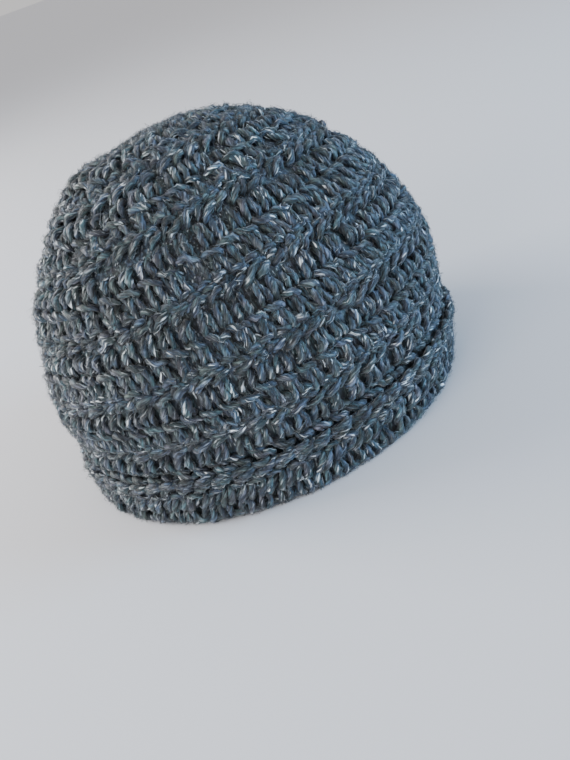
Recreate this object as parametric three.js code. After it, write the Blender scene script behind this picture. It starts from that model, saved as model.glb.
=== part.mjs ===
// A crocheted beanie: a start ring at the crown's pole, a domed crown worked in
// increase rounds, a straight side wall, and a brim turned up into a cuff.
// Millimetres, +Z up. The rim rests on the plane z = 0.
import * as THREE from 'three';

// Oval of the head opening, measured on the cloth's outer face at the rim.
const RIM_HALF_LENGTH = 100.5;
const RIM_HALF_WIDTH = 85.4;
const RIM_MEAN_RADIUS = (RIM_HALF_LENGTH + RIM_HALF_WIDTH) / 2;

// Upright profile: a belly low down, then a dome whose two exponents set how
// full its shoulder is.
const FORM_HEIGHT = 151.8;
const BELLY_HEIGHT = 52.7;
const BELLY_SWELL = 0.034;
const DOME_HEIGHT_POWER = 1.5;
const DOME_RADIUS_POWER = 2.38;

// The soft crown leans over, its rounds tip, and its oval turns with height.
const LEAN_X = { linear: 11.9, square: -23.4 };
const LEAN_Y = { linear: -5.0, square: 30.7 };
const TIP_X = 0.087;
const TIP_Y = -0.222;
const OVAL_TURN = { along: 0.103, across: 0.042 };

// Where the middle of the whole hat's box lies in the oval's own axes.
const BOX_MIDDLE_X = 0.04;
const BOX_MIDDLE_Y = 1.06;

// Cloth.
const WALL = 4.2;
const GAP = 0.3;
const ROUND_BULGE = 0.45;
const SEAM_DEPTH = 0.8;
const RIDGE_HEIGHT = 0.6;

// Cuff.
const CUFF_PROUD = 3.3;
const CUFF_PROUD_COS = -1.47;
const CUFF_PROUD_SIN = 1.12;
const CUFF_TOP = 28.1;
const CUFF_ROUNDS = 3;
const CUFF_RELIEF = 0.7;
const CUFF_EDGE_ROLL = 1.3;
const FOLD_HEIGHT = 5.2;
const FOLD_FLAT = 3.4;
const FOLD_CORNER = 1.3;
const TUCK_START = 28.7;
const TUCK_END = 36;
const LEVEL_FADE = 30;

// Crown.
const INCREASES = 13;
const GATHER_DEPTH = 0.5;
const POLE_HOLE = 1.5;

// Round tops, as distance climbed along the cloth from the rim. A seam is a
// line of strands sunk between two rounds, a ridge a chain that stands proud.
const ROUND_TOPS = [
  { climb: 28.7, edge: 'seam' },
  { climb: 41.6, edge: 'ridge' },
  { climb: 54.5, edge: 'seam' },
  { climb: 67.3, edge: 'ridge' },
  { climb: 81.5, edge: 'seam' },
  { climb: 95.7, edge: 'ridge' },
  { climb: 111.4, edge: 'seam' },
  { climb: 127.1, edge: 'ridge' },
  { climb: 141.0, edge: 'seam' },
  { climb: 155.0, edge: 'ridge' },
  { climb: 168.5, edge: 'seam' },
  { climb: 182.0, edge: 'ridge' },
  { climb: 195.0, edge: 'seam' },
];
const WALL_TOP_ROUND = 5;
const RING_ROUND = 12;

// Dents and swellings of the worn cloth: the place by angle and climb, how far
// each one reaches across and up, and how far it moves the cloth outwards.
const DENTS = [
  { name: 'back shoulder', angle: 174, climb: 172, across: 22, up: 12, move: 2.2 },
  { name: 'below back shoulder', angle: 168, climb: 140, across: 26, up: 14, move: -1.8 },
  { name: 'back hollow', angle: 175, climb: 84, across: 30, up: 10, move: -1.4 },
  { name: 'flat of the crown', angle: 225, climb: 190, across: 16, up: 12, move: -1.3 },
  { name: 'crown pucker', angle: 352, climb: 165, across: 6, up: 5, move: 2.4 },
  { name: 'dip by the pucker', angle: 340, climb: 158, across: 6, up: 5, move: -1.8 },
  { name: 'tuck above the cuff', angle: 337, climb: 36, across: 40, up: 16, move: -1.8 },
];

// Mesh fineness.
const STEPS_ROUND = 65;
const RING_STEPS_ROUND = 26;
const STEPS_PER_ROUND = 3;
const CUFF_BACK_STEPS = 3;
const PROFILE_STEPS = 400;

const smoothStep = THREE.MathUtils.smoothstep;

// Radius factor of the profile at a height.
function profileRadius(height) {
  if (height < BELLY_HEIGHT) {
    return 1 + BELLY_SWELL * Math.sin((Math.PI / 2) * (height / BELLY_HEIGHT));
  }
  const share = Math.min((height - BELLY_HEIGHT) / (FORM_HEIGHT - BELLY_HEIGHT), 1);
  const left = Math.max(1 - share ** DOME_HEIGHT_POWER, 0);
  return (1 + BELLY_SWELL) * left ** (1 / DOME_RADIUS_POWER);
}

// Heights and the distance climbed to them, for a hat of the mean radius.
function climbTable() {
  const table = [{ climb: 0, height: 0 }];
  for (let i = 1; i <= PROFILE_STEPS; i += 1) {
    const before = table[i - 1];
    const height = FORM_HEIGHT * Math.sin((Math.PI / 2) * (i / PROFILE_STEPS));
    const run = RIM_MEAN_RADIUS * (profileRadius(height) - profileRadius(before.height));
    table.push({ climb: before.climb + Math.hypot(run, height - before.height), height });
  }
  return table;
}

const CLIMBS = climbTable();
const POLE_CLIMB = CLIMBS[PROFILE_STEPS].climb;

function heightAtClimb(climb) {
  let i = 1;
  while (i < PROFILE_STEPS && CLIMBS[i].climb < climb) i += 1;
  const share = (climb - CLIMBS[i - 1].climb) / (CLIMBS[i].climb - CLIMBS[i - 1].climb);
  return THREE.MathUtils.lerp(CLIMBS[i - 1].height, CLIMBS[i].height, Math.min(share, 1));
}

// A point of the smooth form: an oval of the profile's radius, leaned and tipped.
function formPoint(angle, climb) {
  const height = heightAtClimb(climb);
  const share = height / FORM_HEIGHT;
  const turn = OVAL_TURN.along * Math.cos(2 * angle) + OVAL_TURN.across * Math.sin(2 * angle);
  const radius = profileRadius(height);
  const alongX = RIM_HALF_LENGTH * radius * Math.cos(angle);
  const alongY = RIM_HALF_WIDTH * radius * Math.sin(angle);
  return new THREE.Vector3(
    alongX * (1 + turn * share) + LEAN_X.linear * share + LEAN_X.square * share ** 2 - BOX_MIDDLE_X,
    alongY * (1 + turn * share) + LEAN_Y.linear * share + LEAN_Y.square * share ** 2 - BOX_MIDDLE_Y,
    height + (TIP_X * alongX + TIP_Y * alongY) * share,
  );
}

// Outward direction of the form, kept level along the cuff.
function formNormal(angle, climb) {
  const reach = 0.02;
  const low = Math.min(climb, POLE_CLIMB - POLE_HOLE);
  const around = formPoint(angle + reach, low).sub(formPoint(angle - reach, low));
  const upwards = formPoint(angle, low + 1).sub(formPoint(angle, low - 1));
  const normal = around.cross(upwards).normalize();
  normal.z *= smoothStep(climb, TUCK_END, TUCK_END + LEVEL_FADE);
  return normal.normalize();
}

// How far the dents and swellings move the cloth at a place.
function dentMove(angle, climb) {
  const radius = RIM_MEAN_RADIUS * profileRadius(heightAtClimb(climb));
  let move = 0;
  for (const dent of DENTS) {
    const turned = angle - THREE.MathUtils.degToRad(dent.angle);
    const across = (radius * Math.atan2(Math.sin(turned), Math.cos(turned))) / dent.across;
    const up = (climb - dent.climb) / dent.up;
    move += dent.move * Math.exp(-(across ** 2) - up ** 2);
  }
  return move;
}

// Relief of the rounds: each one bulges between its two edges.
function roundRelief(climb) {
  const next = ROUND_TOPS.findIndex((round) => round.climb >= climb);
  if (next < 1) return 0;
  const below = ROUND_TOPS[next - 1];
  const above = ROUND_TOPS[next];
  const share = (climb - below.climb) / (above.climb - below.climb);
  const edge = (round) => (round.edge === 'ridge' ? RIDGE_HEIGHT : -SEAM_DEPTH);
  return THREE.MathUtils.lerp(edge(below), edge(above), share) + ROUND_BULGE * Math.sin(Math.PI * share);
}

// Shallow gathers of the crown, one at each line of increases.
function gatherMove(angle, climb) {
  const wallTop = ROUND_TOPS[WALL_TOP_ROUND].climb;
  const fade = smoothStep(climb, wallTop, ROUND_TOPS[WALL_TOP_ROUND + 2].climb);
  return GATHER_DEPTH * fade * Math.cos(INCREASES * angle);
}

const cuffFace = (angle) => CUFF_PROUD + CUFF_PROUD_COS * Math.cos(angle) + CUFF_PROUD_SIN * Math.sin(angle);

// Outer face of the cloth, tucked inwards where the cuff lies over it.
function clothFace(angle, climb) {
  const open = roundRelief(climb) + dentMove(angle, climb) + gatherMove(angle, climb);
  const tucked = cuffFace(angle) - WALL - GAP;
  return THREE.MathUtils.lerp(tucked, open, smoothStep(climb, TUCK_START, TUCK_END));
}

const clothBack = (angle, climb) => clothFace(angle, climb) - roundRelief(climb) - WALL;

// A closed band: one profile loop, given by functions of the angle, swept round
// the form. Each loop point holds a climb and an offset along the normal.
function bandGeometry(loop, stepsRound) {
  const positions = [];
  const faces = [];
  for (let i = 0; i < stepsRound; i += 1) {
    const angle = (2 * Math.PI * i) / stepsRound;
    for (const point of loop) {
      const place = formPoint(angle, point.climb);
      place.addScaledVector(formNormal(angle, point.climb), point.offset(angle));
      positions.push(place.x, place.y, point.flat ? 0 : place.z);
    }
  }
  const count = loop.length;
  for (let i = 0; i < stepsRound; i += 1) {
    const here = i * count;
    const there = ((i + 1) % stepsRound) * count;
    for (let j = 0; j < count; j += 1) {
      const k = (j + 1) % count;
      faces.push(here + j, there + j, there + k);
      faces.push(here + j, there + k, here + k);
    }
  }
  const geometry = new THREE.BufferGeometry();
  geometry.setAttribute('position', new THREE.Float32BufferAttribute(positions, 3));
  geometry.setIndex(faces);
  geometry.computeVertexNormals();
  return geometry;
}

// Climbs from one value to another, with a row at each round's edge.
function climbsBetween(from, to, stepsPerRound) {
  const edges = ROUND_TOPS.map((round) => round.climb).filter((climb) => climb > from + 1 && climb < to - 1);
  const stops = [from, ...edges, to];
  const climbs = [from];
  for (let i = 1; i < stops.length; i += 1) {
    for (let j = 1; j <= stepsPerRound; j += 1) {
      climbs.push(THREE.MathUtils.lerp(stops[i - 1], stops[i], j / stepsPerRound));
    }
  }
  return climbs;
}

// A piece of the worked cloth between two climbs: face upwards, then back down.
function clothLoop(from, to, backSteps) {
  const face = climbsBetween(from, to, STEPS_PER_ROUND);
  const loop = face.map((climb) => ({ climb, offset: (angle) => clothFace(angle, climb) }));
  for (let i = backSteps; i >= 0; i -= 1) {
    const climb = THREE.MathUtils.lerp(from, to, i / backSteps);
    loop.push({ climb, offset: (angle) => clothBack(angle, climb) });
  }
  return loop;
}

// The cuff: a band of three rounds with a rolled top edge, and the fold that
// runs under the side wall and rests flat.
function cuffLoop() {
  const back = (inset) => (angle) => cuffFace(angle) - inset;
  const depth = 2 * WALL + GAP;
  const foldMargin = (depth - FOLD_FLAT) / 2;
  const loop = [
    { climb: 0, flat: true, offset: back(foldMargin) },
    { climb: FOLD_CORNER, offset: back(foldMargin / 3) },
  ];
  const steps = CUFF_ROUNDS * STEPS_PER_ROUND;
  const bandHeight = CUFF_TOP - CUFF_EDGE_ROLL - FOLD_CORNER * 2;
  for (let i = 0; i <= steps; i += 1) {
    const share = i / steps;
    const bulge = CUFF_RELIEF * Math.abs(Math.sin(Math.PI * CUFF_ROUNDS * share));
    loop.push({ climb: FOLD_CORNER * 2 + bandHeight * share, offset: back(-bulge) });
  }
  loop.push({ climb: CUFF_TOP, offset: back(WALL / 3) });
  loop.push({ climb: CUFF_TOP, offset: back((2 * WALL) / 3) });
  for (let i = 0; i <= CUFF_BACK_STEPS; i += 1) {
    const climb = THREE.MathUtils.lerp(CUFF_TOP - CUFF_EDGE_ROLL, FOLD_HEIGHT, i / CUFF_BACK_STEPS);
    loop.push({ climb, offset: back(WALL) });
  }
  loop.push({ climb: FOLD_HEIGHT, offset: back(depth) });
  loop.push({ climb: FOLD_CORNER, offset: back(depth - foldMargin / 3) });
  loop.push({ climb: 0, flat: true, offset: back(depth - foldMargin) });
  return loop;
}

function yarnMaterial(color) {
  return new THREE.MeshStandardMaterial({ color, roughness: 0.95, metalness: 0 });
}

function addPiece(group, name, geometry, color) {
  const mesh = new THREE.Mesh(geometry, yarnMaterial(color));
  mesh.name = name;
  group.add(mesh);
}

const wallTop = ROUND_TOPS[WALL_TOP_ROUND].climb;
const crownTop = ROUND_TOPS[RING_ROUND].climb;

const hat = new THREE.Group();
addPiece(hat, 'cuff', bandGeometry(cuffLoop(), STEPS_ROUND), 0x454d50);
addPiece(hat, 'side_wall', bandGeometry(clothLoop(FOLD_HEIGHT + GAP, wallTop - GAP, 7), STEPS_ROUND), 0x4d5659);
addPiece(hat, 'crown', bandGeometry(clothLoop(wallTop, crownTop - GAP, 9), STEPS_ROUND), 0x555e60);
addPiece(hat, 'start_ring', bandGeometry(clothLoop(crownTop, POLE_CLIMB - POLE_HOLE, 3), RING_STEPS_ROUND), 0x4f5658);

export default hat;
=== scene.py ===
"""A crocheted beanie in thick marled yarn, resting on its turned-up rim.

The cloth is worked in rounds about the crown's pole. Every second round shows the
front of its stitches and ends in a raised chain, the others show the back.
"""

import bpy
import numpy as np
from mathutils import Matrix


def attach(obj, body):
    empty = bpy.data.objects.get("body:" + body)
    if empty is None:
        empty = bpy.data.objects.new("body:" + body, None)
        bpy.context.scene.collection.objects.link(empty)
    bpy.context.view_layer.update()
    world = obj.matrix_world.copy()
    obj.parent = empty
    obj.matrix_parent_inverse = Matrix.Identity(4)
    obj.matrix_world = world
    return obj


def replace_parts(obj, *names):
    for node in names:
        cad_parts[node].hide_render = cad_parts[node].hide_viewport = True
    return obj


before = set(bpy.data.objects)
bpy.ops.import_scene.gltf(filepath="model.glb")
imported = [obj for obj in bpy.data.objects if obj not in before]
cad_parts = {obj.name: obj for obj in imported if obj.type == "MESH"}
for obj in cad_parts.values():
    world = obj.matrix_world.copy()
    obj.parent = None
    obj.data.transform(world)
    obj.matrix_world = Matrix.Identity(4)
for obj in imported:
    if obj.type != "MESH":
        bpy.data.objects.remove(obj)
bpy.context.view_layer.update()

# Start ring: the small ring of stitches that a hat worked from the top begins with,
# drawn shut at the pole. It is crocheted in the same marled yarn as all the rest, so
# the cloth's form, the yarn and the way a round is laid are worked out here first.

# The form that the cloth's outer face follows: an oval whose radius changes with the
# height. Lengths are in millimetres, and climb is the way up from the rim along it.
MM = 0.001
RIM_HALF_LENGTH = 100.5
RIM_HALF_WIDTH = 85.4
RIM_MEAN_RADIUS = (RIM_HALF_LENGTH + RIM_HALF_WIDTH) / 2
FORM_HEIGHT = 151.8
BELLY_HEIGHT = 52.7
BELLY_SWELL = 0.034
DOME_HEIGHT_POWER = 1.5
DOME_RADIUS_POWER = 2.38
LEAN_X = (11.9, -23.4)
LEAN_Y = (-5.0, 30.7)
TIP = (0.087, -0.222)
OVAL_TURN = (0.103, 0.042)
BOX_MIDDLE = (0.04, 1.06)
ANGLE_STEP = 0.02
CLIMB_STEP = 1.0
LEVEL_CLIMBS = (36.0, 66.0)


def smooth_step(value, low, high):
    """Zero below low, one above high, and 3t^2 - 2t^3 between them."""
    t = np.clip((value - low) / (high - low), 0, 1)
    return t * t * (3 - 2 * t)


def profile_radius(height):
    """A quarter sine up to the belly, then a dome: (1 - share^a)^(1/b)."""
    belly = 1 + BELLY_SWELL * np.sin(np.pi / 2 * np.minimum(height / BELLY_HEIGHT, 1))
    share = np.clip((height - BELLY_HEIGHT) / (FORM_HEIGHT - BELLY_HEIGHT), 0, 1)
    return belly * (1 - share**DOME_HEIGHT_POWER) ** (1 / DOME_RADIUS_POWER)


profile_heights = FORM_HEIGHT * np.sin(np.pi / 2 * np.linspace(0, 1, 401))
profile_runs = RIM_MEAN_RADIUS * np.diff(profile_radius(profile_heights))
profile_climbs = np.r_[0, np.cumsum(np.hypot(profile_runs, np.diff(profile_heights)))]
POLE_CLIMB = profile_climbs[-1]


def height_at(climb):
    """The height of a climb, read off the profile's own length."""
    return np.interp(climb, profile_climbs, profile_heights)


def form_point(angle, climb):
    """An oval of the profile's radius at the climb. By the share s of the height, the
    oval turns, 1 + s * a wave of two lobes, its middle leans, a * s + b * s^2, and its
    plane tips, s * (a * along + b * across)."""
    height = height_at(climb)
    share = height / FORM_HEIGHT
    turn = 1 + share * (OVAL_TURN[0] * np.cos(2 * angle) + OVAL_TURN[1] * np.sin(2 * angle))
    radius = profile_radius(height)
    along = RIM_HALF_LENGTH * radius * np.cos(angle)
    across = RIM_HALF_WIDTH * radius * np.sin(angle)
    x = along * turn + LEAN_X[0] * share + LEAN_X[1] * share**2 - BOX_MIDDLE[0]
    y = across * turn + LEAN_Y[0] * share + LEAN_Y[1] * share**2 - BOX_MIDDLE[1]
    z = height + (TIP[0] * along + TIP[1] * across) * share
    return np.stack([x, y, z], axis=-1)


def unit(vectors):
    """Each vector over its own length."""
    return vectors / np.maximum(np.linalg.norm(vectors, axis=-1, keepdims=True), 1e-9)


def form_axes(angle, climb):
    """Unit directions along the round, up the cloth and out of it, by differences of
    the form's points. Low on the hat the way out is level."""
    low = np.minimum(climb, POLE_CLIMB - 1.5 * CLIMB_STEP)
    round_way = unit(form_point(angle + ANGLE_STEP, low) - form_point(angle - ANGLE_STEP, low))
    up_way = unit(form_point(angle, low + CLIMB_STEP) - form_point(angle, low - CLIMB_STEP))
    out = np.cross(round_way, up_way)
    out[..., 2] *= smooth_step(climb, *LEVEL_CLIMBS)
    return round_way, up_way, unit(out)


def place(angle, climb, rise):
    """The form's point moved out of the cloth by rise, in metres."""
    point = form_point(angle, climb) + form_axes(angle, climb)[2] * rise[..., None]
    return point * MM


# How the cloth departs from that form: wide soft dents, small hollows where a stitch
# stands apart, the cuff that lies over it, and the tuck where it goes behind the cuff.
DENTS = (
    # angle in degrees, climb, reach across, reach up, move outwards
    (174, 172, 22, 12, 2.2),
    (168, 140, 26, 14, -1.8),
    (175, 84, 30, 10, -1.4),
    (225, 190, 16, 12, -1.3),
    (352, 165, 6, 5, 2.4),
    (340, 158, 6, 5, -1.8),
    (337, 36, 40, 16, -1.8),
)
LOOSE_STITCHES = (
    # angle in degrees, climb
    (226, 148), (227, 119), (268, 138), (284, 146), (304, 134), (287, 121), (297, 119),
    (210, 134), (251, 150), (209, 90), (219, 90), (216, 62), (208, 62), (230, 164),
    (236, 120), (248, 103), (264, 118), (268, 90), (246, 60), (256, 62), (265, 8),
    (277, 9), (222, 120), (238, 36), (278, 62), (300, 90), (286, 35), (190, 118),
)
LOOSE_REPEATS = 3
LOOSE_REACH_ACROSS = 4.4
LOOSE_REACH_UP = 3.8
LOOSE_DEPTH = -4.2
CLOTH_WALL = 4.2
CUFF_GAP = 0.3
CUFF_PROUD = (3.3, -1.47, 1.12)
LIP_ANGLE = 322
LIP_REACH = 40
LIP_RISE = 1.8
LIP_CLIMBS = (10, 25)
TUCK_CLIMBS = (25.5, 33.0)
REST_SOFTNESS = 0.3 * MM
REST_REACH = 8 * REST_SOFTNESS


def short_way(turn):
    """The same turn taken the short way round: between minus pi and pi."""
    return np.arctan2(np.sin(turn), np.cos(turn))


def dent_move(angle, climb):
    """A sum of bell shapes exp(-across^2 - up^2), each with its own place and reach."""
    radius = RIM_MEAN_RADIUS * profile_radius(height_at(climb))
    move = 0
    for at_angle, at_climb, reach_across, reach_up, depth in DENTS:
        across = radius * short_way(angle - np.radians(at_angle)) / reach_across
        move = move + depth * np.exp(-(across**2) - ((climb - at_climb) / reach_up) ** 2)
    return move


def loose_move(angle, climb):
    """The same bell shapes at the loose stitches, repeated evenly round the hat."""
    radius = RIM_MEAN_RADIUS * profile_radius(height_at(climb))
    move = 0
    for at_angle, at_climb in LOOSE_STITCHES:
        turned = short_way(LOOSE_REPEATS * (angle - np.radians(at_angle)))
        across = radius * turned / (LOOSE_REPEATS * LOOSE_REACH_ACROSS)
        up = (climb - at_climb) / LOOSE_REACH_UP
        move = move + LOOSE_DEPTH * np.exp(-(across**2) - up**2)
    return move


def cuff_proud(angle):
    """How far the cuff stands off the form: a mean, and one wave round the hat."""
    return CUFF_PROUD[0] + CUFF_PROUD[1] * np.cos(angle) + CUFF_PROUD[2] * np.sin(angle)


def cuff_face(angle, climb):
    """The cuff's outer face. On one side its upper edge has come away from the cloth
    as a lip, a bell shape in the angle that grows with the climb."""
    away = np.degrees(short_way(angle - np.radians(LIP_ANGLE))) / LIP_REACH
    lip = LIP_RISE * np.exp(-(away**2)) * smooth_step(climb, *LIP_CLIMBS)
    return cuff_proud(angle) + lip


def cloth_face(angle, climb):
    """The cloth's outer face: the dents, blended below the tuck into a plain face that
    lies one wall and a gap behind the cuff."""
    open_share = smooth_step(climb, *TUCK_CLIMBS)
    behind_cuff = cuff_proud(angle) - CLOTH_WALL - CUFF_GAP
    return behind_cuff * (1 - open_share) + dent_move(angle, climb) * open_share


def rested(points):
    """Points in metres with none below the surface that the hat rests on: near it a
    height becomes s * log(1 + exp(height / s)), so the yarn there is pressed flat."""
    points = points.copy()
    height = points[..., 2]
    pressed = REST_SOFTNESS * np.logaddexp(0, height / REST_SOFTNESS)
    points[..., 2] = np.where(height > REST_REACH, height, pressed)
    return points


# The yarn: soft plies of charcoal and slate fibres, with paler ones and a few long
# white ones. A noise is cycles per millimetre across the yarn and along it, its detail,
# and its shift to a place of its own. A ramp is a noise's values and the colours there.
PLIES = 7
CHARCOAL = (0.010, 0.015, 0.021, 1)
SLATE = (0.030, 0.047, 0.063, 1)
ASH = (0.125, 0.178, 0.220, 1)
PALE = (0.90, 0.97, 1.00, 1)
MARL_NOISE = (1.0, 0.24, 1.0, 0.0)
MARL = ((0.34, CHARCOAL), (0.52, SLATE), (0.70, ASH))
WARM_NOISE = (0.24, 0.10, 1.0, 57.0)
WARM_TINTS = ((0.38, (0.82, 1.02, 1.12, 1)), (0.62, (1.18, 0.98, 0.88, 1)))
GREEN_NOISE = (0.24, 0.10, 1.0, 83.0)
GREEN_TINTS = ((0.38, (1.07, 0.94, 1.10, 1)), (0.62, (0.92, 1.06, 0.91, 1)))
FLECK_NOISE = (1.05, 0.27, 0.0, 31.0)
FLECKS = ((0.64, (0, 0, 0, 1)), (0.83, PALE))
CLUSTER_NOISE = (0.24, 0.09, 0.0, 11.0)
CLUSTERS = ((0.38, (0.15, 0.15, 0.15, 1)), (0.62, (1.2, 1.2, 1.2, 1)))
# Painted shade in the grooves between the plies and a painted highlight on their crests: a ramp
# over the plies' wave.
PLY_PAINTED_SHADING = (
    (0.0, (0.84, 0.84, 0.84, 1)),
    (0.7, (0.93, 0.93, 0.93, 1)),
    (1.0, (1.10, 1.10, 1.10, 1)),
)
FIBRE_NOISE = (3.2, 0.5, 1.0, 7.0)
YARN_FINISH = {
    "Roughness": 0.5,
    "Specular IOR Level": 0.45,
    "Sheen Weight": 0.2,
    "Sheen Roughness": 0.5,
}
RELIEF_STRENGTH = 0.28
RELIEF_DISTANCE = 0.0004


def yarn_material(name):
    """Marled yarn, on coordinates across and along each strand. The colour is a noise
    ramp from charcoal to ash times two slow tints, plus pale flecks that a slow noise
    gathers in clusters, times painted shade in the grooves between the plies with a
    painted highlight on their crests, times the point's random tone with its painted
    shade and highlight. The bump is the plies, |sin(turn * plies / 2)|, plus a fine
    noise for the fibres."""
    material = bpy.data.materials.new(name)
    material.use_nodes = True
    nodes, links = material.node_tree.nodes, material.node_tree.links
    nodes.clear()

    def attribute(wanted):
        """What each point holds under this name."""
        node = nodes.new("ShaderNodeAttribute")
        node.attribute_name = wanted
        return node.outputs

    def streaks(across, along, detail, shift):
        """Noise stretched along the yarn, shifted to a place of its own."""
        mapping = nodes.new("ShaderNodeMapping")
        mapping.inputs["Scale"].default_value = (across, across, along)
        mapping.inputs["Location"].default_value = (shift, shift, shift)
        noise = nodes.new("ShaderNodeTexNoise")
        noise.inputs["Scale"].default_value = 1.0
        noise.inputs["Detail"].default_value = detail
        links.new(strand, mapping.inputs["Vector"])
        links.new(mapping.outputs["Vector"], noise.inputs["Vector"])
        return noise.outputs["Fac"]

    def ramp(source, stops):
        """The colour between the stops on either side of the source's value."""
        node = nodes.new("ShaderNodeValToRGB")
        elements = node.color_ramp.elements
        elements[0].position, elements[0].color = stops[0]
        elements[1].position, elements[1].color = stops[-1]
        for position, colour in stops[1:-1]:
            elements.new(position).color = colour
        links.new(source, node.inputs["Fac"])
        return node.outputs["Color"]

    def mixed(blend, first, second):
        """Two colours multiplied or added in full."""
        node = nodes.new("ShaderNodeMix")
        node.data_type = "RGBA"
        node.blend_type = blend
        node.inputs["Factor"].default_value = 1.0
        links.new(first, node.inputs["A"])
        links.new(second, node.inputs["B"])
        return node.outputs["Result"]

    def worked_out(operation, first, second=None):
        """One or two sockets put through an operation."""
        node = nodes.new("ShaderNodeMath")
        node.operation = operation
        links.new(first, node.inputs[0])
        if second is not None:
            links.new(second, node.inputs[1])
        return node

    strand = attribute("ply")["Vector"]
    section = nodes.new("ShaderNodeSeparateXYZ")
    links.new(strand, section.inputs["Vector"])
    turn = worked_out("ARCTAN2", section.outputs["Y"], section.outputs["X"])
    lobe_turn = worked_out("MULTIPLY", turn.outputs["Value"])
    lobe_turn.inputs[1].default_value = PLIES / 2
    wave = worked_out("SINE", lobe_turn.outputs["Value"])
    lobes = worked_out("ABSOLUTE", wave.outputs["Value"]).outputs["Value"]

    colour = ramp(streaks(*MARL_NOISE), MARL)
    colour = mixed("MULTIPLY", colour, ramp(streaks(*WARM_NOISE), WARM_TINTS))
    colour = mixed("MULTIPLY", colour, ramp(streaks(*GREEN_NOISE), GREEN_TINTS))
    flecks = ramp(streaks(*FLECK_NOISE), FLECKS)
    clusters = ramp(streaks(*CLUSTER_NOISE), CLUSTERS)
    colour = mixed("ADD", colour, mixed("MULTIPLY", flecks, clusters))
    # Painted shade between the plies and a painted highlight on their crests.
    colour = mixed("MULTIPLY", colour, ramp(lobes, PLY_PAINTED_SHADING))
    # Times each point's random tone with painted shade where the yarn is sunk or faces away and a
    # painted highlight where it faces out.
    colour = mixed("MULTIPLY", colour, attribute("tone_and_painted_shade")["Color"])

    bump = nodes.new("ShaderNodeBump")
    bump.inputs["Strength"].default_value = RELIEF_STRENGTH
    bump.inputs["Distance"].default_value = RELIEF_DISTANCE
    relief = worked_out("ADD", lobes, streaks(*FIBRE_NOISE))
    links.new(relief.outputs["Value"], bump.inputs["Height"])

    shader = nodes.new("ShaderNodeBsdfPrincipled")
    for socket, value in YARN_FINISH.items():
        shader.inputs[socket].default_value = value
    links.new(colour, shader.inputs["Base Color"])
    links.new(bump.outputs["Normal"], shader.inputs["Normal"])
    output = nodes.new("ShaderNodeOutputMaterial")
    links.new(shader.outputs["BSDF"], output.inputs["Surface"])
    return material


yarn = yarn_material("marled_yarn")


def yarn_piece(name, points, flat, corners, ply, tone_and_painted_shade):
    """A piece of yarn from arrays: points in metres, faces as runs of corners, and for
    each point its place across and along the yarn and its random tone times painted
    shade and highlight."""
    mesh = bpy.data.meshes.new(name)
    mesh.vertices.add(len(points))
    mesh.vertices.foreach_set("co", points.astype(np.float32).ravel())
    mesh.loops.add(len(flat))
    mesh.loops.foreach_set("vertex_index", flat.astype(np.int32))
    mesh.polygons.add(len(corners))
    mesh.polygons.foreach_set("loop_start", np.r_[0, np.cumsum(corners)[:-1]].astype(np.int32))
    mesh.update(calc_edges=True)
    mesh.shade_smooth()
    places = mesh.attributes.new("ply", "FLOAT_VECTOR", "POINT")
    places.data.foreach_set("vector", ply.astype(np.float32).ravel())
    tones_and_painted_shades = mesh.attributes.new("tone_and_painted_shade", "FLOAT", "POINT")
    tones_and_painted_shades.data.foreach_set("value", np.broadcast_to(tone_and_painted_shade, len(points)).astype(np.float32))
    mesh.materials.append(yarn)
    piece = bpy.data.objects.new(name, mesh)
    bpy.context.scene.collection.objects.link(piece)
    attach(piece, "root")
    return piece


# A strand of yarn in a stitch: a soft lumpy tube whose ends sink into the cloth.
YARN_RADIUS = 1.66
YARN_SIDES = 7
STRAND_STEPS = 9
TWIST_LENGTH = 16.0
LUMPS = 0.07
END_TAPER = 0.35
PATTERN_SHIFT = 7.3
chance = np.random.default_rng(11)


def smooth_path(count, steps):
    """Weights that turn control points into a smooth line: each stretch is the cubic
    through its two ends whose slopes run between the neighbours on either side."""
    at = np.linspace(0, count - 1, steps)
    cell = np.minimum(at.astype(int), count - 2)
    t = at - cell
    weights = np.zeros((steps, count))
    parts = (
        (-1, -0.5 * t + t**2 - 0.5 * t**3),
        (0, 1 - 2.5 * t**2 + 1.5 * t**3),
        (1, 0.5 * t + 2 * t**2 - 1.5 * t**3),
        (2, -0.5 * t**2 + 0.5 * t**3),
    )
    for step, weight in parts:
        np.add.at(weights, (np.arange(steps), np.clip(cell + step, 0, count - 1)), weight)
    return weights


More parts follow.
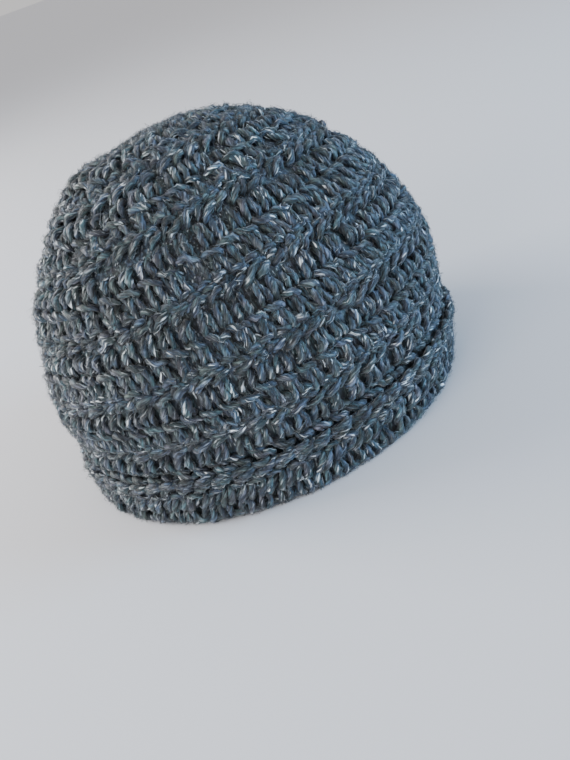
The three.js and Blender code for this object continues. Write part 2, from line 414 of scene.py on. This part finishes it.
def yarn_tubes(path, sideways, radius, offset):
    """Soft yarn along each path: at each step a ring of corners, turned by the twist,
    lumpy by noise smoothed along the yarn, and thinned towards both ends by
    sqrt(1 - t^4). Gives the points, their place in the yarn and their way outwards."""
    strands, steps = path.shape[:2]
    tangent = unit(np.gradient(path, axis=1))
    first = unit(sideways - (sideways * tangent).sum(-1, keepdims=True) * tangent)
    second = np.cross(tangent, first)
    lengths = np.linalg.norm(np.diff(path, axis=1), axis=-1) / MM
    run = np.concatenate([np.zeros((strands, 1)), np.cumsum(lengths, axis=1)], axis=1)
    corner = 2 * np.pi * np.arange(YARN_SIDES) / YARN_SIDES
    turned = corner + 2 * np.pi * (run + offset[:, None])[..., None] / TWIST_LENGTH
    lumps = chance.normal(0, 1, (strands, steps + 2, YARN_SIDES))
    lumps = 1 + LUMPS * (lumps[:, :-2] + 1.5 * lumps[:, 1:-1] + lumps[:, 2:])
    ends = END_TAPER + (1 - END_TAPER) * np.sqrt(1 - np.abs(np.linspace(-1, 1, steps)) ** 4)
    thick = (radius[:, None] * ends)[..., None] * lumps
    cosine, sine = np.cos(turned)[..., None], np.sin(turned)[..., None]
    outwards = cosine * first[:, :, None] + sine * second[:, :, None]
    points = path[:, :, None] + thick[..., None] * MM * outwards
    across = np.broadcast_to(radius[:, None, None], turned.shape)
    along = np.broadcast_to((run + offset[:, None] * PATTERN_SHIFT)[..., None], turned.shape)
    ply = np.stack([np.cos(corner) * across, np.sin(corner) * across, along], axis=-1)
    return points, ply, outwards


def tube_faces(strands, steps, sides):
    """Quads between neighbouring rings, and one flat cap at each end of a strand."""
    ring = np.arange(sides)
    next_ring = (ring + 1) % sides
    low = (np.arange(steps - 1) * sides)[:, None]
    quad = np.stack([low + ring, low + next_ring, low + sides + next_ring, low + sides + ring], -1)
    caps = np.concatenate([ring[::-1], (steps - 1) * sides + ring])
    first = (np.arange(strands) * steps * sides)[:, None]
    flat = np.concatenate([first + quad.ravel(), first + caps], axis=1).ravel()
    return flat, np.tile(np.r_[np.full((steps - 1) * sides, 4), sides, sides], strands)


# A round of stitches: the same few strands repeated round the hat, each uneven in
# its own way. Their places are shares of a stitch across it and of the round up it.
# Each strand is cut from anywhere in a long stretch of yarn. Its colour has painted
# shade by its depth in millimetres, and painted shade or a painted highlight by how far
# each point faces out of the cloth, from -1 to 1.
EDGE_WAVES = ((2, 0.35), (5, 0.3), (9, 0.25), (14, 0.2))
EDGE_PHASE = 1.7
LAP_CLIMB = 60.0
STITCH_SINK = -1.6
SLOT_DRIFT = 0.08
STITCH_LEAN = 0.12
STRAND_SHIFT = (0.04, 0.03, 0.3)
STRAND_BEND = (0.04, 0.03, 0.25)
UNEVEN_THICKNESS = 0.08
UNEVEN_TONE = 0.19
YARN_STRETCH = 400
FACING_LIFT = 0.4
# Painted shade and highlight: the colour darkens to the deep value between these depths, and lies
# between the under and top values by how far a point faces out.
PAINTED_SHADE_DEPTHS = (-2.6, -0.2)
DEEP_PAINTED_SHADE = 0.82
PAINTED_HIGHLIGHT_FACING = (0.2, 1.0)
UNDER_PAINTED_SHADE = 0.93
TOP_PAINTED_HIGHLIGHT = 1.07
SEEN_FACING = (-0.4, 0.6)
SEEN_DEPTHS = (-2.4, -0.4)
laid_yarn = []

lap_angles = np.linspace(0, 2 * np.pi, 721)
lap_points = form_point(lap_angles, np.full(lap_angles.shape, LAP_CLIMB))
lap_steps = np.linalg.norm(np.diff(lap_points, axis=0), axis=1)
lap_shares = np.r_[0, np.cumsum(lap_steps)] / lap_steps.sum()


def angle_at(share):
    """The angle that lies this share of the way round, measured along the cloth."""
    whole = np.floor(share)
    return np.interp(share - whole, lap_shares, lap_angles) + 2 * np.pi * whole


def edge_climb(climb, angle):
    """The edge between two rounds: its climb, wandering by a few sines round the hat."""
    wander = 0
    for waves, height in EDGE_WAVES:
        wander = wander + height * np.sin(waves * angle + EDGE_PHASE * waves * climb)
    return climb + wander


def stitch_paths(way, points, foot, top, slots, lean, face):
    """One strand of every stitch in a round: its control points, each jittered, made
    a smooth line in the stitch's own axes and laid onto the cloth's face. Gives the
    line, the direction sideways to it, the way out of the cloth and its depth."""
    count = len(slots)
    shift = chance.normal(0, 1, (count, 1, 3)) * STRAND_SHIFT
    bend = chance.normal(0, 1, (count, len(points), 3)) * STRAND_BEND
    local = smooth_path(len(points), STRAND_STEPS) @ (np.array(points) + shift + bend)
    across = local[..., 0] + lean[:, None] * (local[..., 1] - 0.5)
    angle = angle_at((slots[:, None] + across) / count)
    low, high = edge_climb(foot, angle), edge_climb(top, angle)
    climb = low + (high - low) * local[..., 1]
    rise = face(angle, climb) + local[..., 2] + STITCH_SINK + loose_move(angle, climb)
    round_way, up_way, out = form_axes(angle, climb)
    return place(angle, climb, rise), (round_way if way == "up" else up_way), out, local[..., 2]


def lay_round(name, foot, top, count, stitch, face=cloth_face):
    """All the strands of a round of stitches as one piece. A strand's colour has painted
    shade where it is sunk or turned under and a painted highlight where it faces out,
    and loose fibres will grow where it is seen."""
    drift = np.cumsum(chance.normal(0, SLOT_DRIFT, count))
    drift -= np.linspace(0, drift[-1], count)
    slots = np.arange(count) + drift + chance.uniform(0, 1)
    lean = chance.normal(0, STITCH_LEAN, count)
    meshes, plies, tones_and_painted_shades = [], [], []
    for way, thickness, points in stitch.values():
        path, sideways, out, depth = stitch_paths(way, points, foot, top, slots, lean, face)
        radius = YARN_RADIUS * thickness * (1 + UNEVEN_THICKNESS * chance.normal(0, 1, count))
        starts = chance.uniform(0, YARN_STRETCH, count)
        tube, ply, outwards = yarn_tubes(path, sideways, radius, starts)
        facing = (outwards * out[:, :, None]).sum(-1)
        tone_and_painted_shade = np.exp(chance.normal(0, UNEVEN_TONE, (count, 1, 1)))
        # Painted shade and highlight: the strand's random tone, darkened where it is sunk and on
        # its sides, lightened where it faces out.
        raised = smooth_step(depth[..., None] + FACING_LIFT * facing, *PAINTED_SHADE_DEPTHS)
        tone_and_painted_shade = tone_and_painted_shade * (DEEP_PAINTED_SHADE + (1 - DEEP_PAINTED_SHADE) * raised)
        painted_highlight_share = smooth_step(facing, *PAINTED_HIGHLIGHT_FACING)
        tone_and_painted_shade = tone_and_painted_shade * (UNDER_PAINTED_SHADE + (TOP_PAINTED_HIGHLIGHT - UNDER_PAINTED_SHADE) * painted_highlight_share)
        seen = smooth_step(facing, *SEEN_FACING) * smooth_step(depth, *SEEN_DEPTHS)[..., None]
        meshes.append(rested(tube).reshape(-1, 3))
        plies.append(ply.reshape(-1, 3))
        tones_and_painted_shades.append(tone_and_painted_shade.ravel())
        laid_yarn.append((tube, outwards, ply, tone_and_painted_shade, seen))
    flat, corners = tube_faces(count * len(stitch), STRAND_STEPS, YARN_SIDES)
    points, ply, tone_and_painted_shade = (np.concatenate(part) for part in (meshes, plies, tones_and_painted_shades))
    yarn_piece(name, points, flat, corners, ply, tone_and_painted_shade)


FRONT_STITCH = {
    # way it runs, thickness, then points: across the stitch, up the round, out in mm
    "left leg": (
        "up", 1.0,
        ((0.16, -0.12, -3.0), (0.16, 0.03, -0.8), (0.18, 0.18, 0.7), (0.23, 0.34, 0.5),
         (0.30, 0.50, -0.9), (0.35, 0.63, -3.2)),
    ),
    "right leg": (
        "up", 1.0,
        ((0.64, -0.12, -3.0), (0.62, 0.03, -0.8), (0.59, 0.18, 0.6), (0.57, 0.34, 0.4),
         (0.54, 0.50, -1.0), (0.52, 0.63, -3.2)),
    ),
    "wrap": (
        "up", 0.95,
        ((-0.02, 0.54, -3.2), (0.08, 0.63, -0.6), (0.24, 0.72, 0.7), (0.48, 0.79, 0.8),
         (0.74, 0.85, 0.4), (0.96, 0.93, -1.4)),
    ),
    "shoulder": (
        "up", 0.85,
        ((0.72, 0.66, -3.0), (0.86, 0.74, -1.2), (1.00, 0.84, -0.4), (1.14, 0.93, -0.9),
         (1.26, 1.00, -2.4)),
    ),
    "chain front": (
        "round", 0.9,
        ((-0.14, 0.86, -2.2), (0.03, 0.92, -0.8), (0.24, 0.98, -0.1), (0.46, 1.01, -0.1),
         (0.66, 0.99, -0.8), (0.80, 0.94, -2.2)),
    ),
    "chain back": (
        "round", 0.95,
        ((0.62, 1.04, -2.2), (0.80, 1.10, -0.4), (1.02, 1.17, 0.5), (1.24, 1.19, 0.4),
         (1.44, 1.16, -0.4), (1.58, 1.10, -2.2)),
    ),
}
RING_CLIMB = 195.0
RING_TOP = POLE_CLIMB - 3
RING_STITCHES = 9
lay_round("start_ring_stitches", RING_CLIMB, RING_TOP, RING_STITCHES, FRONT_STITCH)

# Crown: seven rounds of double crochet that turn the ring into a dome. Each is worked
# into the chain of the one above, and every second one takes thirteen more stitches.
# Front and back of the work show by turns, because the work is turned after a round.
BACK_STITCH = {
    "deep": (
        "up", 0.9,
        ((0.02, 0.84, -3.2), (0.16, 0.68, -2.2), (0.30, 0.52, -2.0), (0.42, 0.34, -2.6)),
    ),
    "post": (
        "up", 1.05,
        ((0.46, 0.92, -2.6), (0.47, 0.76, -0.9), (0.51, 0.58, -0.2), (0.55, 0.40, 0.1),
         (0.56, 0.22, 0.5), (0.54, 0.04, -1.6)),
    ),
    "slanting post": (
        "up", 0.95,
        ((0.62, 0.84, -2.6), (0.69, 0.70, -1.0), (0.80, 0.52, -0.4), (0.91, 0.34, 0.0),
         (1.00, 0.18, 0.0), (1.05, 0.02, -2.2)),
    ),
    "bar": (
        "round", 0.95,
        ((-0.04, 0.90, -2.4), (0.12, 0.88, -0.3), (0.36, 0.84, 0.7), (0.60, 0.80, 0.7),
         (0.84, 0.75, 0.1), (1.02, 0.68, -1.8)),
    ),
    "foot": (
        "round", 0.9,
        ((-0.02, 0.36, -2.6), (0.10, 0.32, -1.2), (0.24, 0.24, -0.5), (0.38, 0.14, -0.8),
         (0.50, 0.02, -2.2)),
    ),
}
CROWN_ROUNDS = (
    # climb at its foot, climb at its top, stitches, side that shows
    (182.0, RING_CLIMB, 13, BACK_STITCH),
    (168.5, 182.0, 26, FRONT_STITCH),
    (155.0, 168.5, 26, BACK_STITCH),
    (141.0, 155.0, 39, FRONT_STITCH),
    (127.1, 141.0, 39, BACK_STITCH),
    (111.4, 127.1, 52, FRONT_STITCH),
    (95.7, 111.4, 52, BACK_STITCH),
)
for number, (foot, top, count, stitch) in enumerate(CROWN_ROUNDS, 1):
    lay_round(f"crown_round_{number}", foot, top, count, stitch)

# Side wall: five straight rounds of the same yarn, with no more stitches added, that
# hang from the crown's last chain. Below them the cloth goes in behind the cuff, and
# in the groove there only a sunken bar and a raised one under it show.
WALL_ROUNDS = (
    # climb at its foot, climb at its top, side that shows
    (81.5, 95.7, FRONT_STITCH),
    (67.3, 81.5, BACK_STITCH),
    (54.5, 67.3, FRONT_STITCH),
    (41.6, 54.5, BACK_STITCH),
    (28.7, 41.6, FRONT_STITCH),
)
WALL_STITCHES = 65
TUCK_ROUND = (15.7, 28.7)
TUCK_STITCH = {
    "bar": (
        "round", 1.0,
        ((-0.04, 0.97, -2.8), (0.12, 0.95, -1.9), (0.36, 0.92, -1.1), (0.60, 0.90, -1.0),
         (0.84, 0.86, -1.3), (1.02, 0.80, -2.4)),
    ),
    "low bar": (
        "round", 1.0,
        ((0.42, 0.78, -0.8), (0.58, 0.77, 0.8), (0.82, 0.74, 1.5), (1.06, 0.71, 1.6),
         (1.30, 0.68, 1.1), (1.48, 0.62, -0.8)),
    ),
}
for number, (foot, top, stitch) in enumerate(WALL_ROUNDS, 1):
    lay_round(f"wall_round_{number}", foot, top, WALL_STITCHES, stitch)
lay_round("tuck_round", *TUCK_ROUND, WALL_STITCHES, TUCK_STITCH)

# Cuff: the last rounds of the work, turned up with the wrong side out. Its loose end
# chain lies along the upper edge, over a row of small loops and one of upright
# strands, and at the fold the strands go under the rim that the hat rests on.
CUFF_EDGE_STITCH = {
    "under": (
        "up", 0.95,
        ((0.20, -0.12, -2.8), (0.22, 0.06, -1.0), (0.30, 0.26, -0.2), (0.42, 0.46, -0.6),
         (0.55, 0.64, -2.2)),
    ),
    "chain low": (
        "round", 0.95,
        ((-0.02, 0.20, -2.4), (0.15, 0.28, -0.4), (0.42, 0.42, 0.7), (0.72, 0.58, 0.8),
         (0.98, 0.72, 0.0), (1.16, 0.84, -2.2)),
    ),
    "chain high": (
        "round", 0.95,
        ((-0.12, 0.52, -2.6), (0.05, 0.62, -1.0), (0.32, 0.74, -0.4), (0.60, 0.84, -0.4),
         (0.86, 0.88, -1.0), (1.02, 0.86, -2.6)),
    ),
}
CUFF_LOOP_STITCH = {
    "loop": (
        "round", 0.85,
        ((0.00, 0.20, -2.6), (0.14, 0.40, -0.6), (0.34, 0.62, 0.2), (0.58, 0.62, 0.1),
         (0.76, 0.40, -0.8), (0.86, 0.16, -2.6)),
    ),
}
CUFF_MIDDLE_STITCH = {
    "left": (
        "up", 1.0,
        ((0.10, -0.12, -2.4), (0.14, 0.10, -0.3), (0.22, 0.38, 0.7), (0.34, 0.68, 0.6),
         (0.46, 0.94, -0.3), (0.52, 1.12, -2.4)),
    ),
    "right": (
        "up", 1.0,
        ((0.46, -0.12, -2.4), (0.50, 0.10, -0.3), (0.58, 0.38, 0.7), (0.68, 0.68, 0.5),
         (0.78, 0.94, -0.4), (0.82, 1.12, -2.4)),
    ),
    "cross": (
        "up", 0.8,
        ((0.78, 0.10, -2.8), (0.84, 0.26, -1.4), (0.92, 0.46, -1.0), (1.02, 0.64, -1.4),
         (1.08, 0.80, -2.8)),
    ),
}
CUFF_FOLD_STITCH = {
    "left": (
        "up", 0.95,
        ((0.32, 1.14, -2.2), (0.24, 0.90, 0.1), (0.20, 0.58, 0.8), (0.26, 0.24, 0.8),
         (0.38, 0.04, -0.2), (0.44, -0.08, -2.6)),
    ),
    "right": (
        "up", 0.95,
        ((0.48, 1.14, -2.2), (0.60, 0.90, 0.2), (0.68, 0.58, 0.9), (0.64, 0.24, 0.9),
         (0.54, 0.04, 0.0), (0.46, -0.06, -2.6)),
    ),
    "rim": (
        "round", 0.95,
        ((0.46, 0.34, -2.4), (0.66, 0.28, -0.2), (0.88, 0.24, 0.6), (1.12, 0.26, 0.6),
         (1.34, 0.34, -0.2), (1.52, 0.42, -2.4)),
    ),
}
CUFF_ROUNDS = (
    # name, climb at its foot, climb at its top, stitch
    ("cuff_edge", 17.2, 24.5, CUFF_EDGE_STITCH),
    ("cuff_loops", 13.2, 19.2, CUFF_LOOP_STITCH),
    ("cuff_middle", 7.0, 14.9, CUFF_MIDDLE_STITCH),
    ("cuff_fold", 0.8, 7.2, CUFF_FOLD_STITCH),
)
for name, foot, top, stitch in CUFF_ROUNDS:
    lay_round(name, foot, top, WALL_STITCHES, stitch, cuff_face)

# Core of the cloth: the yarn that lies deep inside the stitches and closes the cloth
# behind them. Its colour is darkened by painted shade, for the shade of the stitches
# over it. It is a thin closed shell along the inner face of each plain solid's wall,
# and takes that solid's place.
CORE_OUT = -3.9
CORE_IN = -4.7
CORE_STEPS = 84
CORE_RING_GAP = 4
# Painted shade: the core's colour is darkened to this share.
CORE_PAINTED_SHADE = 0.65
CORES = (
    # name, lowest climb, highest climb, node it replaces, face that it lies behind
    ("cuff_core", 2.0, 22.6, "cuff", cuff_face),
    ("wall_core", 5.5, 95.6, "side_wall", cloth_face),
    ("crown_core", 95.7, 194.9, "crown", cloth_face),
    ("ring_core", 195.0, 203.5, "start_ring", cloth_face),
)


def core_shell(name, low, high, face):
    """A closed band between two climbs: up its outer side and back down its inner one."""
    climbs = np.linspace(low, high, max(int((high - low) / CORE_RING_GAP), 3))
    climb = np.broadcast_to(np.r_[climbs, climbs[::-1]], (CORE_STEPS, 2 * len(climbs)))
    depth = np.r_[np.full(len(climbs), CORE_OUT), np.full(len(climbs), CORE_IN)]
    angles = np.linspace(0, 2 * np.pi, CORE_STEPS, endpoint=False)
    angle = np.broadcast_to(angles[:, None], climb.shape)
    points = rested(place(angle, climb, face(angle, climb) + depth)).reshape(-1, 3)
    count = climb.shape[1]
    here = (np.arange(CORE_STEPS) * count)[:, None]
    there = ((np.arange(CORE_STEPS) + 1) % CORE_STEPS * count)[:, None]
    up = np.arange(count)
    over = (up + 1) % count
    quad = np.stack([here + up, there + up, there + over, here + over], -1)
    corners = np.full(CORE_STEPS * count, 4)
    return yarn_piece(name, points, quad.ravel(), corners, points / MM, CORE_PAINTED_SHADE)


for name, low, high, node, face in CORES:
    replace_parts(core_shell(name, low, high, face), node)

# Loose fibres: the yarn is hairy. Fibres lie slightly raised along its surface, finer
# ones stand out of it as a halo, and some cross from strand to strand. They are spun
# into the yarn at one end or both, so each starts from the yarn's own surface.
FIBRES = (
    # name, count, reach in shares of the way two rings along the yarn, or for crossing
    # ones in millimetres, thinnest and thickest radius, share that slips round the yarn,
    # none for crossing ones, stray, and the lift of its start, middle and end
    (
        "lying_fibres", 24000, (0.5, 1.4), (0.08, 0.26), 0.6, 0.35,
        ((-0.15, 0.25), (0.0, 0.35), (-0.15, 0.25)),
    ),
    (
        "standing_fibres", 33000, (0.3, 1.3), (0.06, 0.10), 0.8, 0.5,
        ((-0.1, 0.1), (0.3, 1.2), (0.6, 3.2)),
    ),
    (
        "crossing_fibres", 23000, (1.0, 2.6), (0.06, 0.15), 0.0, 0.2,
        ((-0.4, 0.4), (0.1, 0.6), (-0.4, 0.4)),
    ),
)
FIBRE_TONE_SHIFT = 1.5
tubes, outwards, plies, tones_and_painted_shades, seen = (np.concatenate(part) for part in zip(*laid_yarn))


def fibre_piece(name, count, reach, radii, slip, stray, lifts):
    """Spindles of six faces, at points of the yarn drawn by how well they are seen. The
    middle is over its point. Each end lies its reach along the line to the corner two
    rings away, slipped round the yarn by one corner or none, or for a crossing fibre
    its reach along a random line across the surface. Each of the three is then lifted
    off the surface and strays a little."""
    inner = seen[:, 2:-2]
    picked = chance.choice(inner.size, count, p=inner.ravel() / inner.sum())
    strand, step, corner = np.unravel_index(picked, inner.shape)
    step = step + 2
    turn = chance.integers(-1, 2, count) * (chance.random(count) < slip)
    share = chance.uniform(*reach, (2, count, 1))
    astray = unit(np.cross(outwards[strand, step, corner], chance.normal(0, 1, (count, 3))))
    knots = []
    for side, lift in zip((-1, 0, 1), lifts):
        far = (strand, step + 2 * side, (corner + side * turn) % YARN_SIDES)
        point = tubes[strand, step, corner]
        if side and slip > 0:
            point = point + (tubes[far] - point) * share[(side + 1) // 2]
        elif side:
            point = point + side * MM * share[(side + 1) // 2] * astray
        raised = chance.uniform(*lift, (count, 1))
        strays = chance.normal(0, stray, (count, 3))
        knots.append(point + (outwards[far] * raised + strays) * MM)
    start, middle, end = knots
    along = unit(end - start)
    beside = unit(np.cross(along, chance.normal(0, 1, (count, 3))))
    below = np.cross(along, beside)
    turns = (2 * np.pi * np.arange(3) / 3)[:, None]
    spokes = np.cos(turns) * beside[:, None] + np.sin(turns) * below[:, None]
    radius = radii[0] + (radii[1] - radii[0]) * chance.random((count, 1, 1)) ** 2
    waist = middle[:, None] + spokes * radius * MM
    points = rested(np.concatenate([start[:, None], waist, end[:, None]], axis=1))
    faces = np.array([2, 1, 0, 3, 2, 0, 1, 3, 0, 1, 2, 4, 2, 3, 4, 3, 1, 4])
    flat = (np.arange(count)[:, None] * 5 + faces).ravel()
    strays = chance.uniform(-FIBRE_TONE_SHIFT, FIBRE_TONE_SHIFT, (count, 3))
    ply = np.repeat(plies[strand, step, corner] + strays, 5, axis=0)
    # Each fibre takes the random tone and painted shade of the yarn at its root.
    tone_and_painted_shade = np.repeat(tones_and_painted_shades[strand, step, corner], 5)
    yarn_piece(name, points.reshape(-1, 3), flat, np.full(6 * count, 3), ply, tone_and_painted_shade)


for fibres in FIBRES:
    fibre_piece(*fibres)

# Camera: the photograph's own angle to the hat, close to it and above the floor. The
# picture is rolled, and the hat's middle falls on its own pixel of the picture.
PICTURE = (570, 760)
FOCAL_PIXELS = 775.7
AIM_PIXEL = (233.8, 277.4)
AIM_HEIGHT = 75.0
AIM = np.array([-BOX_MIDDLE[0], -BOX_MIDDLE[1], AIM_HEIGHT]) * MM
DISTANCE = 0.3954
AZIMUTH, ELEVATION, ROLL = np.radians([-19.355, 21.778, 20.478])
SENSOR = 36


def camera_pose():
    """A look at the aim, rolled, then turned so that the aim falls on its pixel and not
    on the picture's centre: the turn that takes the view's axis to the pixel's ray."""
    level = np.cos(ELEVATION)
    back = np.array([np.sin(AZIMUTH) * level, -np.cos(AZIMUTH) * level, np.sin(ELEVATION)])
    right = unit(np.cross(-back, [0, 0, 1]))
    look = np.stack([right, np.cross(right, -back), -back])
    cosine, sine = np.cos(ROLL), np.sin(ROLL)
    roll = np.array([[cosine, -sine, 0], [sine, cosine, 0], [0, 0, 1]])
    aside, above = AIM_PIXEL[0] - PICTURE[0] / 2, PICTURE[1] / 2 - AIM_PIXEL[1]
    ray = unit(np.array([aside, above, FOCAL_PIXELS]))
    axis = np.cross([0, 0, 1], ray)
    cross = np.array([[0, -axis[2], axis[1]], [axis[2], 0, -axis[0]], [-axis[1], axis[0], 0]])
    turn = np.eye(3) + cross + cross @ cross / (1 + ray[2])
    right, up, forward = turn @ roll @ look
    pose = np.eye(4)
    pose[:3] = np.stack([right, up, -forward, AIM + back * DISTANCE], axis=1)
    return Matrix(pose)


camera_data = bpy.data.cameras.new("camera")
camera_data.sensor_width = SENSOR
camera_data.lens = FOCAL_PIXELS * SENSOR / PICTURE[1]
camera_data.clip_start = 0.01
camera = bpy.data.objects.new("camera", camera_data)
bpy.context.scene.collection.objects.link(camera)
camera.matrix_world = camera_pose()
bpy.context.scene.camera = camera

# Floor and light: a plain pale matt floor under a pale sky. Two large soft lights
# stand on the left, in front and behind, and a cool one on the right.
FLOOR_REACH = 20
FLOOR_COLOUR = (0.76, 0.77, 0.81, 1)
FLOOR_ROUGHNESS = 0.8
SKY_COLOUR = (1.0, 0.98, 0.98, 1)
SKY_STRENGTH = 0.74
LIT_POINT = (0, 0, 0.08)
LIGHTS = (
    # name, where it stands in metres, size, power, colour
    ("left_front", (-1.3, -0.6, 0.5), 0.9, 14, (1.0, 0.99, 0.98)),
    ("left_back", (-1.0, 0.9, 0.6), 0.9, 26, (1.0, 0.98, 0.96)),
    ("cool_side", (1.15, -0.64, 0.38), 0.7, 22, (0.32, 0.64, 1.0)),
)

floor_corners = [(-1, -1, 0), (1, -1, 0), (1, 1, 0), (-1, 1, 0)]
floor_points = (np.array(floor_corners) * FLOOR_REACH).tolist()
floor_mesh = bpy.data.meshes.new("floor")
floor_mesh.from_pydata(floor_points, [], [(0, 1, 2, 3)])
floor = bpy.data.objects.new("floor", floor_mesh)
bpy.context.scene.collection.objects.link(floor)
floor_paint = bpy.data.materials.new("floor_paint")
floor_paint.use_nodes = True
floor_shader = floor_paint.node_tree.nodes["Principled BSDF"]
floor_shader.inputs["Base Color"].default_value = FLOOR_COLOUR
floor_shader.inputs["Roughness"].default_value = FLOOR_ROUGHNESS
floor_mesh.materials.append(floor_paint)

sky = bpy.data.worlds.new("sky")
sky.use_nodes = True
sky.node_tree.nodes["Background"].inputs["Color"].default_value = SKY_COLOUR
sky.node_tree.nodes["Background"].inputs["Strength"].default_value = SKY_STRENGTH
bpy.context.scene.world = sky

for name, stand, size, power, colour in LIGHTS:
    light = bpy.data.lights.new(name, "AREA")
    light.size = size
    light.energy = power
    light.color = colour
    lamp = bpy.data.objects.new(name, light)
    bpy.context.scene.collection.objects.link(lamp)
    backwards = unit(np.subtract(stand, LIT_POINT))
    side = unit(np.cross([0, 0, 1], backwards))
    turned = np.eye(4)
    turned[:3] = np.stack([side, np.cross(backwards, side), backwards, stand], axis=1)
    lamp.matrix_world = Matrix(turned)
